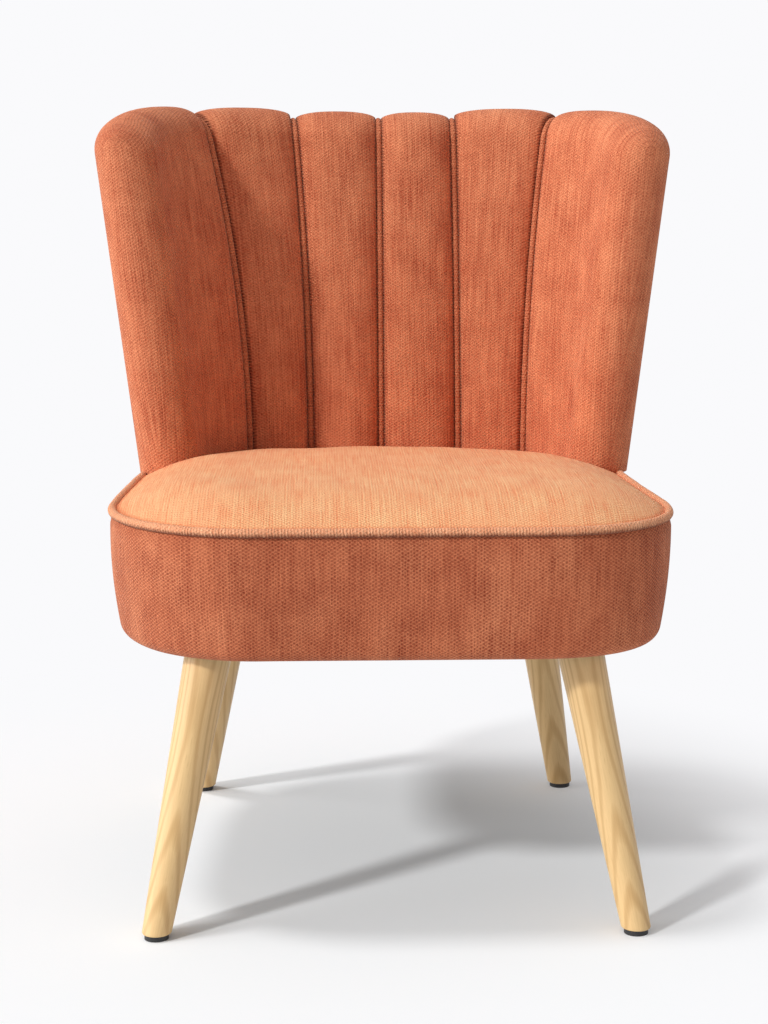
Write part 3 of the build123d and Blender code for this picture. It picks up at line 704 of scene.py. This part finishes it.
class CHAIR_OT_seat_cushion(bpy.types.Operator):
    """Crowned seat cushion, tucked down in front of the back"""
    bl_idname = "chair.seat_cushion"
    bl_label = "Seat Cushion"

    around = 420
    rise_rings = 44
    middle_rings = 34
    edge_inset = 0.0030
    edge_drop = 0.001
    hem_inset = 0.004
    hem_drop = 0.012
    lean_across = (0.02, 0.18)
    lean_along = (-0.12, 0.2)
    soft = 0.0011
    soft_rise = 0.4
    soft_waves = (0.11, 3)
    sink = 0.384
    tuck = 0.016
    tuck_gap = 0.001
    outer_tuck = 0.004
    line_reach = 0.0075
    # How fast painted light lightens the seat's cloth towards its front
    nap = -0.5

    def execute(self, context):
        seat = context.scene.chair_seat
        outline, normal = seat_outline(seat, self.around)[:2]
        inset = self.edge_inset + (seat.crown_run - self.edge_inset) * (
            1 - np.cos(np.linspace(0, pi / 2, self.rise_rings)))
        rings = outline[None] - normal[None] * inset[:, None, None]
        closing = np.linspace(1, 0, self.middle_rings + 1)[1:]
        flat = np.concatenate((rings, shrunk(rings[-1], closing)))
        share = np.concatenate((inset / seat.crown_run, np.ones(self.middle_rings)))
        low = seat.welt_height - self.edge_drop
        rise = (seat.crown_top - low) * (1 - (1 - share) ** seat.crown_power)
        rise[self.rise_rings:] += seat.dome * (1 - closing ** 2)
        x, y = flat[..., 0], flat[..., 1]
        kept = 1 - seat.fall * ramp(y, seat.fall_start, seat.fall_run)
        lean = np.where(x < 0, seat.lean_left, seat.lean_right)
        kept -= lean * ramp(np.abs(x), *self.lean_across) * ramp(y, *self.lean_along)
        height = low + rise[:, None] * kept
        softness = self.soft * ramp(share, 0.0, self.soft_rise)
        height += softness[:, None] * waves(x, y, *self.soft_waves)
        height = self.tucked(context.scene.chair_back, x, y, height)
        hem = raised(flat[:1] - normal[None] * self.hem_inset, low - self.hem_drop)
        points = np.concatenate((hem, raised(flat, height)))
        gap = np.append(0.0, (share - share[0]) * seat.crown_run)
        gap = np.broadcast_to(gap[:, None], points.shape[:2])
        piece = grid_object("seat_cushion", points, plan_uv(points), wrap_columns=True, marks=gap,
                            close=True)
        finish = context.scene.chair_finish
        # The seat's cloth takes the lighter colours and the lightening towards the front: painted
        # light on its level top.
        cloth = chenille("seat_chenille", finish, "nap", "seat", finish.welt_line, self.line_reach,
                         nap=self.nap)
        dress(piece, cloth, "terracotta_weave", "seat_top_cover", "seat_foam")
        return {"FINISHED"}

    def tucked(self, back, x, y, height):
        """Heights with the cushion rolled down round the back's feet and wings."""
        run, depth = to_back(back, x, y, height)
        face = front_depth(back, run, height)
        share = np.clip((depth - face - self.tuck_gap) / self.tuck, 0.0, 1.0)
        core = back.wing_depth / 2
        past = np.maximum(np.abs(run) - run_at(back, back.wing_turn, height), 0.0)
        outer = core - np.sqrt(np.maximum(core ** 2 - past ** 2, 0.0))
        share = np.maximum(share, np.clip((outer - depth) / self.outer_tuck + 1.0, 0.0, 1.0))
        rolled = self.sink + (height - self.sink) * np.sqrt(share * (2 - share))
        return np.where(face > 0, np.minimum(rolled, height), height)


class CHAIR_OT_seat_band(bpy.types.Operator):
    """Padded side of the seat, rounded in under the frame"""
    bl_idname = "chair.seat_band"
    bl_label = "Seat Band"

    around = 460
    wall_steps = 30
    round_steps = 14
    thick = 0.003
    top_drop = 0.0015
    gather = 0.0030
    gather_height = 0.012
    soft = 0.0009
    soft_waves = (0.13, 11)
    firm_rows = (2, 4)

    def execute(self, context):
        outline = seat_outline(context.scene.chair_seat, self.around)
        outer = self.side(context.scene.chair_seat, 0.0)
        inner = self.side(context.scene.chair_seat, self.thick)[::-1]
        profile = np.concatenate((outer, inner))
        points = ring(outline, profile)
        u = np.broadcast_to(outline[2][None], points.shape[:2])
        swell = self.soft * waves(u, points[..., 2], *self.soft_waves)
        fade = np.zeros(len(profile))
        fade[self.firm_rows[0]:len(outer) - self.firm_rows[1]] = 1.0
        points[..., :2] += outline[1][None] * (swell * fade[:, None])[..., None]
        piece = grid_object("seat_side_band", points, ring_uv(outline, profile),
                            wrap_rows=True, wrap_columns=True)
        # The side's darker colours are painted shade.
        cloth = chenille("band_chenille", context.scene.chair_finish, "side", "side")
        dress(piece, cloth, "terracotta_weave", "seat_band", "side_padding")
        return {"FINISHED"}

    def side(self, seat, inset):
        """Offsets and heights from below the welt down and in to the lip."""
        wall_x = seat.band_bulge - seat.band_bow
        level = seat.band_bottom + seat.band_round
        meet = np.arcsin((seat.band_bulge_height - level) / (seat.band_bow - seat.band_round))
        round_x = wall_x + (seat.band_bow - seat.band_round) * cos(meet)
        top = seat.welt_height - self.top_drop
        start = np.arcsin((seat.band_bulge_height - top) / seat.band_bow)
        wall = np.linspace(start, meet, self.wall_steps)
        edge = np.linspace(meet, pi / 2, self.round_steps)[1:]
        bow = seat.band_bow - inset
        small = seat.band_round - inset
        x = np.concatenate((wall_x + bow * np.cos(wall), round_x + small * np.cos(edge),
                            [round_x - seat.band_lip]))
        z = np.concatenate((seat.band_bulge_height - bow * np.sin(wall),
                            level - small * np.sin(edge), [level - small]))
        x -= self.gather * ramp(z, top - self.gather_height, self.gather_height)
        return np.stack((x, z), -1)


class CHAIR_OT_seat_welt(bpy.types.Operator):
    """Fabric-covered welt round the seat's upper edge"""
    bl_idname = "chair.seat_welt"
    bl_label = "Seat Welt"

    around = 900
    sides = 18
    uneven = 0.00025
    uneven_waves = (0.035, 5)
    ribs = 0.0031

    def execute(self, context):
        seat = context.scene.chair_seat
        outline = seat_outline(seat, self.around)
        turn = np.linspace(0, 2 * pi, self.sides, endpoint=False)
        profile = np.stack((np.cos(turn), np.sin(turn)), -1) * seat.welt_radius
        points = ring(outline, profile + (0.0, seat.welt_height))
        points[..., 2] += self.uneven * waves(outline[2], outline[2] * 0, *self.uneven_waves)
        piece = grid_object("seat_edge_welt", points, ring_uv(outline, profile),
                            wrap_rows=True, wrap_columns=True)
        finish = context.scene.chair_finish
        # The welt: lighter colours as painted light, and painted shade on its lower half.
        cloth = chenille("welt_chenille", finish, "welt", "back", ribs=self.ribs,
                         under=(finish.welt_painted_shade, seat.welt_radius))
        dress(piece, cloth, "terracotta_weave", "seat_welt")
        return {"FINISHED"}


class ChannelShape:
    """Grid of points over one channel: columns across it, rows up the front, over and down."""
    front_rows = 120
    dome_rows = 34
    columns = 56
    roll_columns = 22
    groove = 0.0035
    dip_share = 0.25
    inner_depth = 0.0411
    sink = 0.0035
    lip = 0.001
    wing_weave = 0.65
    uv_step = (0.37, 0.61)
    uv_close = (0.0, 0.03)
    stuffing = 0.0013
    stuffing_size = 0.085
    stuffing_stretch = 0.6
    firm = 0.02
    seed = 20
    gather = 0.0005
    gather_pitch = 0.0135
    gather_start = 0.003
    gather_reach = 0.009
    wander = 0.004
    wander_size = 0.05
    wander_seed = 60

    def __init__(self, back, channel):
        self.back = back
        self.channel = channel
        self.wing = channel in (0, CHANNELS - 1)
        self.top = back.top + back.rises[channel]
        self.wing_seam = 0 if channel == 0 else CHANNELS - 2

    def across(self):
        """Share across, front depth, rear depth, top height and reach past the wing's tip."""
        back = self.back
        if not self.wing:
            share = np.sin(np.linspace(-pi / 2, pi / 2, self.columns))
            rise = pillow(1 - np.abs(share))
            front = stuffed(back, back.crest_depth, rise)
            top = self.top - back.seam_dip * (1 - rise)
            return share, front, self.groove * (1 - rise), top, np.zeros_like(share)
        share = 1 - np.cos(np.linspace(0, pi / 2, self.columns))
        rise = pillow(share)
        core = back.wing_depth / 2
        turn = np.linspace(0, pi / 2, self.roll_columns)[1:]
        front = np.append(stuffed(back, back.wing_depth, rise), core + core * np.cos(turn))
        rear = np.append(self.groove * (1 - rise), core - core * np.cos(turn))
        share = np.append(share, np.ones_like(turn))
        ahead = np.append(np.zeros(self.columns), core * np.sin(turn))
        dip = back.seam_dip * (1 - pillow(np.minimum(share / self.dip_share, 1.0)))
        width = (run_at(back, back.wing_turn, back.shoulder)
                 - abs(seam_run(back, self.wing_seam, back.shoulder)))
        edge = (1 - share) * width + core - ahead
        corner = np.clip(1 - edge / back.wing_corner, 0.0, 1.0)
        drop = back.wing_drop * (1 - np.sqrt(1 - corner ** 2))
        return share, front, rear, self.top - dip - drop, ahead

    def run(self, share, z):
        """Run of each column at its heights, and the middle and reach of the channel there."""
        back = self.back
        if not self.wing:
            left = seam_run(back, self.channel - 1, z) + back.slot
            right = seam_run(back, self.channel, z) - back.slot
            middle, half = (left + right) / 2, (right - left) / 2
            return middle + share * half, middle, half
        start = np.abs(seam_run(back, self.wing_seam, z)) + back.slot
        tip = run_at(back, back.wing_turn, z)
        side = -1.0 if self.channel == 0 else 1.0
        return side * (start + share * (tip - start)), side * (start + tip) / 2, tip - start

    def grid(self):
        """Points, UV and distance from the seam."""
        back = self.back
        share, front, rear, top, ahead = self.across()
        low = back.cover_low - self.sink if self.wing else back.channel_low
        half = (front - rear) / 2
        neck = top - half
        dome = np.linspace(0, pi, self.dome_rows)[1:, None]
        rise = low + (neck - low) * np.linspace(0, 1, self.front_rows)[:, None]
        fall = rise[-2::-1]
        edge = np.minimum(neck - self.lip, back.cover_high)
        behind = self.behind_cover(share, ahead)
        step = (neck - low) / (self.front_rows - 1)
        fall = np.where(behind & (fall >= edge) & (fall < edge + step), edge, fall)
        under = np.clip((neck - fall) / (neck - edge), 0.0, 1.0) ** 2
        under *= np.where(behind, self.groove, 0.0)
        wall = np.where(behind & (fall < edge), self.inner_depth, rear + under)
        z = np.concatenate((rise, neck + half * np.sin(dome), fall))
        depth = np.concatenate((np.broadcast_to(front, rise.shape),
                                rear + half + half * np.cos(dome), wall))
        run, middle, span = self.run(share[None], z)
        u = run - middle
        v = np.concatenate((rise, neck + half * np.minimum(dome, pi - dome), fall))
        gap = (share if self.wing else 1 - np.abs(share))[None] * span
        shown = np.concatenate((np.ones(self.front_rows), (1 + np.cos(dome[:, 0])) / 2,
                                np.zeros(self.front_rows - 1)))
        core = back.wing_depth / 2
        turn = np.arcsin(np.clip(ahead / core, 0.0, 1.0))
        soft = self.softness(u, v, gap) * shown[:, None] * np.cos(turn) ** 2
        points = on_back(back, run, depth + soft, z, ahead[None])
        if self.wing:
            u = np.sign(middle) * (self.wing_weave * share * span + turn * core)
        uv = np.stack((u, v), -1) + np.array(self.uv_step) * self.channel
        uv = np.concatenate((uv, uv[-1:] + self.uv_close))
        return points, uv, np.broadcast_to(gap, z.shape)

    def behind_cover(self, share, ahead):
        """Columns whose rear lies under the outside back."""
        back = self.back
        if not self.wing:
            return np.ones(len(share), bool)
        run = np.abs(self.run(share, back.shoulder)[0])
        return (run < run_at(back, back.cover_turn, back.shoulder)) & (ahead == 0)

    def softness(self, across, along, gap):
        """Uneven stuffing and small gathers along the seams, as depth."""
        stuffing = self.stuffing * ramp(gap, 0.0, self.firm) * waves(
            across, along * self.stuffing_stretch, self.stuffing_size, self.seed + self.channel)
        wander = self.wander * waves(
            across * 0, along, self.wander_size, self.wander_seed + self.channel)
        gather = np.sin(2 * pi * (along + wander) / self.gather_pitch)
        gather *= np.exp(-gap / self.gather_reach) * ramp(gap, 0.0, self.gather_start)
        return stuffing + self.gather * gather


class CHAIR_OT_back_channels(bpy.types.Operator):
    """Stuffed upright channels of the back, the outer ones rolled round its ends"""
    bl_idname = "chair.back_channels"
    bl_label = "Back Channels"

    def execute(self, context):
        finish = context.scene.chair_finish
        # The channels' dotted dark seam lines are painted shade in the grooves beside the piping.
        cloth = chenille("channel_chenille", finish, "yarn", "back", finish.stitch)
        for channel in range(CHANNELS):
            shape = ChannelShape(context.scene.chair_back, channel)
            points, uv, gap = shape.grid()
            caps = (0,) if shape.wing else (0, -1)
            piece = grid_object(f"back_channel_{channel + 1}", points, uv, wrap_rows=True,
                                caps=caps, marks=gap)
            dress(piece, cloth, "terracotta_weave",
                  f"back_panel_{channel + 1}", f"channel_foam_{channel + 1}")
        return {"FINISHED"}


class CHAIR_OT_back_piping(bpy.types.Operator):
    """Piping in the seams between the channels, over the top and down to the outside back"""
    bl_idname = "chair.back_piping"
    bl_label = "Back Piping"

    rise_steps = 150
    arch_steps = 40
    fall_steps = 4
    sides = 14
    rear_depth = 0.0055
    cover_gap = 0.001
    side_step = 0.001
    uneven = 0.0002
    uneven_size = 0.03
    seed = 60
    ribs = 0.0033

    def execute(self, context):
        cloth = chenille("piping_chenille", context.scene.chair_finish, "yarn", "back",
                         ribs=self.ribs)
        for seam in range(CHANNELS - 1):
            points, uv = self.tube(context.scene.chair_back, seam)
            piece = grid_object(f"back_seam_piping_{seam + 1}", points, uv, wrap_rows=True,
                                caps=(0, -1))
            dress(piece, cloth, "terracotta_weave", f"back_piping_{seam + 1}")
        return {"FINISHED"}

    def tube(self, back, seam):
        """Points round and along the piping, rows round it."""
        reach = (back.seam_depth - self.rear_depth) / 2
        neck = back.top - back.piping_drop - back.piping_radius - reach
        rise = np.linspace(back.channel_low, neck, self.rise_steps)
        arch = np.linspace(0, pi, self.arch_steps)[1:]
        fall = np.linspace(neck, back.cover_high + self.cover_gap, self.fall_steps)[1:]
        z = np.concatenate((rise, neck + reach * np.sin(arch), fall))
        depth = np.concatenate((np.full_like(rise, back.seam_depth),
                                self.rear_depth + reach + reach * np.cos(arch),
                                np.full_like(fall, self.rear_depth)))
        run = seam_run(back, seam, z)
        line = on_back(back, run, depth, z)
        side = (on_back(back, run + self.side_step, depth, z)
                - on_back(back, run - self.side_step, depth, z))
        ahead = np.gradient(line, axis=0)
        ahead /= np.linalg.norm(ahead, axis=1, keepdims=True)
        side -= ahead * np.sum(side * ahead, axis=1, keepdims=True)
        side /= np.linalg.norm(side, axis=1, keepdims=True)
        out = np.cross(side, ahead)
        turn = np.linspace(0, 2 * pi, self.sides, endpoint=False)[:, None, None]
        radius = back.piping_radius + self.uneven * waves(z, depth, self.uneven_size,
                                                          self.seed + seam)[None, :, None]
        points = line[None] + radius * (np.cos(turn) * side[None] + np.sin(turn) * out[None])
        around = np.linspace(0, 2 * pi * back.piping_radius, self.sides + 1)
        v, u = np.meshgrid(around, path_lengths(line), indexing="ij")
        return points, np.stack((u, v), -1)


class CHAIR_OT_outside_back(bpy.types.Operator):
    """Wadded panel over the back's outer face"""
    bl_idname = "chair.outside_back"
    bl_label = "Outside Back"

    columns = 150
    rows = 70
    low_gap = 0.0007
    high_gap = 0.0005
    edge = 0.0032
    edge_round = 0.03
    half_width = 0.30
    swell = 0.0030
    swell_run = 0.12
    thick = 0.0065
    soft = 0.0008
    soft_waves = (0.12, 31)
    uv_shift = (3.0, 2.0)

    def execute(self, context):
        back = context.scene.chair_back
        low = back.cover_low + self.low_gap
        high = back.cover_high + self.high_gap
        up = (1 - np.cos(np.linspace(0, pi, self.rows))) / 2
        turn = np.sin(np.linspace(-pi / 2, pi / 2, self.columns))
        share, rise = np.meshgrid(turn, up)
        z = low + (high - low) * rise
        run = share * run_at(back, back.cover_turn, z)
        rim = np.minimum((1 - np.abs(share)) * self.half_width,
                         np.minimum(rise, 1 - rise) * (high - low))
        fullness = pillow(np.clip(rim / self.edge_round, 0.0, 1.0))
        swell = self.edge + self.swell * ramp(rim, 0.0, self.swell_run)
        soft = self.soft * waves(run, z, *self.soft_waves)
        outer = on_back(back, run, self.edge + (soft - swell) * fullness, z)
        inner = on_back(back, run, np.full_like(z, self.thick), z)[::-1]
        points = np.concatenate((outer, inner))
        uv = np.stack((run, z), -1) + self.uv_shift
        uv = np.concatenate((uv, uv[::-1], uv[:1]))
        piece = grid_object("outside_back", points, uv, wrap_rows=True, caps=(0, -1))
        cloth = chenille("outside_chenille", context.scene.chair_finish, "yarn", "back")
        dress(piece, cloth, "terracotta_weave", "outside_back_cover", "outside_back_wadding")
        return {"FINISHED"}


class CHAIR_OT_dust_cover(bpy.types.Operator):
    """Black dust cover stapled under the seat"""
    bl_idname = "chair.dust_cover"
    bl_label = "Dust Cover"

    around = 200
    rings = 26
    sag = 0.004
    ripple = 0.0004
    ripple_waves = (0.05, 8)
    look = ((0.012, 0.012, 0.013), (0.035, 0.034, 0.033), (700.0,) * 3, 0.9)

    def execute(self, context):
        seat = context.scene.chair_seat
        outline, normal = seat_outline(seat, self.around)[:2]
        rim = outline - normal * (WELT_HIGH.y - seat.welt_radius - DUST_HIGH.y)
        share = np.linspace(1, 0, self.rings)
        flat = shrunk(rim, share)
        share = share[:, None]
        ripple = self.ripple * waves(flat[..., 0], flat[..., 1], *self.ripple_waves)
        under = DUST_LOW.z - self.sag * (1 - share ** 2) ** 2 + ripple * (1 - share)
        upper = raised(flat, under + (DUST_HIGH.z - DUST_LOW.z))
        points = np.concatenate((upper[::-1], raised(flat, under)))
        piece = grid_object("seat_dust_cover", points, plan_uv(points), wrap_columns=True)
        dress(piece, plain_finish("dust_cloth", *self.look), "black_cloth", "dust_cover")
        return {"FINISHED"}


class CHAIR_OT_legs(bpy.types.Operator):
    """Wood of the legs and plastic of their glides"""
    bl_idname = "chair.legs"
    bl_label = "Legs and Glides"

    glide_repeats = (500.0,) * 3
    glide_roughness = 0.5
    end_thickness = 0.001

    def execute(self, context):
        finish = context.scene.chair_finish
        plastic = plain_finish("glide_plastic", finish.glide_dark, finish.glide_light,
                               self.glide_repeats, self.glide_roughness)
        for corner in ("front_left", "front_right", "rear_left", "rear_right"):
            glide_low, glide_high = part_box(f"glide_{corner}")
            foot = (glide_low + glide_high) / 2
            head = self.head(f"leg_{corner}")
            paint(f"leg_{corner}", leg_wood(f"wood_{corner}", finish, foot, head))
            paint(f"glide_{corner}", plastic)
        return {"FINISHED"}

    def head(self, node):
        """Middle of a leg's upper end."""
        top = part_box(node)[1].z - self.end_thickness
        rim = np.array([v.co for v in frame["nodes"][node].data.vertices if v.co.z > top])
        return Vector((rim.min(0) + rim.max(0)) / 2)


class CHAIR_OT_inner_frame(bpy.types.Operator):
    """Finishes of the wood, steel and felt inside the upholstery"""
    bl_idname = "chair.inner_frame"
    bl_label = "Inner Frame"

    looks = {
        "plywood": ("plywood", (0.55, 0.38, 0.20), (0.70, 0.52, 0.31), (9.0, 90.0, 260.0), 0.7),
        "frame_wood": ("frame_timber", (0.58, 0.40, 0.20), (0.74, 0.55, 0.32),
                       (140.0, 140.0, 12.0), 0.65),
        "zinc_steel": ("zinc_steel", (0.42, 0.43, 0.44), (0.62, 0.63, 0.64), (300.0,) * 3,
                       0.38, 1.0),
        "grey_felt": ("grey_felt", (0.12, 0.115, 0.11), (0.26, 0.25, 0.24), (650.0,) * 3, 0.95),
    }

    def execute(self, context):
        materials = {slot: plain_finish(*look) for slot, look in self.looks.items()}
        for row in frame["record"]["subparts"]:
            if row["material_slot"] in materials:
                paint(row["node"], materials[row["material_slot"]])
        return {"FINISHED"}


class CHAIR_OT_stage(bpy.types.Operator):
    """Pale floor, lights and the camera"""
    bl_idname = "chair.stage"
    bl_label = "Stage"

    floor_size = 14.0
    floor_colour = (0.945, 0.964, 0.980)
    bounce_colour = (0.88, 0.88, 0.89)
    fill_colour = (1.0, 1.0, 1.0)
    shadow_centre = (-0.15, -0.10, 0.0)
    shadow_near = 0.30
    shadow_far = 0.90
    lift = 0.03
    lamp_distance = 3.0
    lamps = {
        "key": ((-0.70, -0.50, 0.60), 6.0),
        "side": ((-0.95, -0.06, 0.22), 40.0),
        "top": ((-0.28, 0.03, 1.0), 9.0),
    }
    sensor_height = 36.0

    def execute(self, context):
        studio = context.scene.chair_studio
        bpy.ops.mesh.primitive_plane_add(size=self.floor_size, location=(0, 0, 0))
        floor = context.object
        floor.name = "floor"
        floor.data.materials.append(self.floor_material(studio))
        for name, (direction, angle) in self.lamps.items():
            self.light(context, f"{name}_light", Vector(direction), angle, getattr(studio, name))
        self.world(context, studio)
        self.camera(context, studio)
        context.scene.view_settings.view_transform = "Standard"
        return {"FINISHED"}

    def floor_material(self, studio):
        """White floor that keeps the shadow near the chair and fades to the backdrop."""
        material = bpy.data.materials.new("pale_floor")
        tree = bare_tree(material)
        place = add(tree, "TexCoord").outputs["Object"]
        reach = add(tree, "VectorMath", {0: place, 1: self.shadow_centre}, operation="DISTANCE")
        fade = add(tree, "MapRange", {0: reach.outputs["Value"], 1: self.shadow_near,
                                      2: self.shadow_far}, interpolation_type="SMOOTHSTEP")
        white = opaque(studio.backdrop)
        lit = add(tree, "BsdfDiffuse", {"Color": opaque(self.floor_colour)})
        glow = add(tree, "Emission", {"Color": white, "Strength": self.lift})
        near = add(tree, "AddShader", {0: lit.outputs[0], 1: glow.outputs[0]})
        far = add(tree, "Emission", {"Color": white, "Strength": 1.0})
        shown = add(tree, "MixShader", {0: fade.outputs[0], 1: near.outputs[0], 2: far.outputs[0]})
        bounce = add(tree, "BsdfDiffuse", {"Color": opaque(self.bounce_colour)})
        add(tree, "OutputMaterial", {"Surface": self.seen(tree, bounce, shown)})
        return material

    def seen(self, tree, lighting, shown):
        """Shader with one look where it only lights the chair and another where it is seen."""
        rays = add(tree, "LightPath").outputs
        share = calc(tree, "MAXIMUM", rays["Is Camera Ray"], rays["Is Glossy Ray"])
        share = calc(tree, "MAXIMUM", share, rays["Is Transmission Ray"])
        return add(tree, "MixShader", {
            0: share, 1: lighting.outputs[0], 2: shown.outputs[0]}).outputs[0]

    def light(self, context, name, direction, angle, strength):
        bpy.ops.object.light_add(type="SUN", location=direction * self.lamp_distance)
        lamp = context.object
        lamp.name = name
        lamp.rotation_euler = direction.to_track_quat("Z", "Y").to_euler()
        lamp.data.angle = radians(angle)
        lamp.data.energy = strength

    def world(self, context, studio):
        context.scene.world = bpy.data.worlds.new("studio")
        tree = bare_tree(context.scene.world)
        soft = add(tree, "Background", {"Color": opaque(self.fill_colour),
                                        "Strength": studio.fill})
        white = add(tree, "Background", {"Color": opaque(studio.backdrop), "Strength": 1.0})
        add(tree, "OutputWorld", {"Surface": self.seen(tree, soft, white)})

    def camera(self, context, studio):
        view = bpy.data.cameras.new("photo_view")
        view.sensor_fit = "VERTICAL"
        view.sensor_height = self.sensor_height
        view.lens = studio.lens
        camera = new_object("photo_view", view)
        camera.location = studio.camera
        camera.rotation_euler = Euler((pi / 2 - studio.pitch, 0.0, -studio.yaw))
        context.scene.camera = camera


OPERATORS = (
    CHAIR_OT_seat_cushion, CHAIR_OT_seat_band, CHAIR_OT_seat_welt, CHAIR_OT_back_channels,
    CHAIR_OT_back_piping, CHAIR_OT_outside_back, CHAIR_OT_dust_cover, CHAIR_OT_legs,
    CHAIR_OT_inner_frame, CHAIR_OT_stage,
)


class CHAIR_PT_pieces(bpy.types.Panel):
    """Lists the chair's pieces."""
    bl_idname = "CHAIR_PT_pieces"
    bl_label = "Slipper Chair"
    bl_space_type = "VIEW_3D"
    bl_region_type = "UI"
    bl_category = "Chair"

    def draw(self, context):
        for operator in OPERATORS:
            self.layout.operator(operator.bl_idname)


GROUPS = {
    "chair_seat": ChairSeatSizes,
    "chair_back": ChairBackSizes,
    "chair_finish": ChairFinish,
    "chair_studio": ChairStudio,
}
CLASSES = tuple(GROUPS.values()) + OPERATORS + (CHAIR_PT_pieces,)


def register():
    for cls in CLASSES:
        bpy.utils.register_class(cls)
    for name, group in GROUPS.items():
        setattr(bpy.types.Scene, name, bpy.props.PointerProperty(type=group))


def unregister():
    for name in GROUPS:
        delattr(bpy.types.Scene, name)
    for cls in reversed(CLASSES):
        bpy.utils.unregister_class(cls)


def main():
    register()
    bpy.ops.object.select_all(action="DESELECT")
    for operator in OPERATORS:
        family, name = operator.bl_idname.split(".")
        getattr(getattr(bpy.ops, family), name)()


if __name__ == "__main__":
    main()
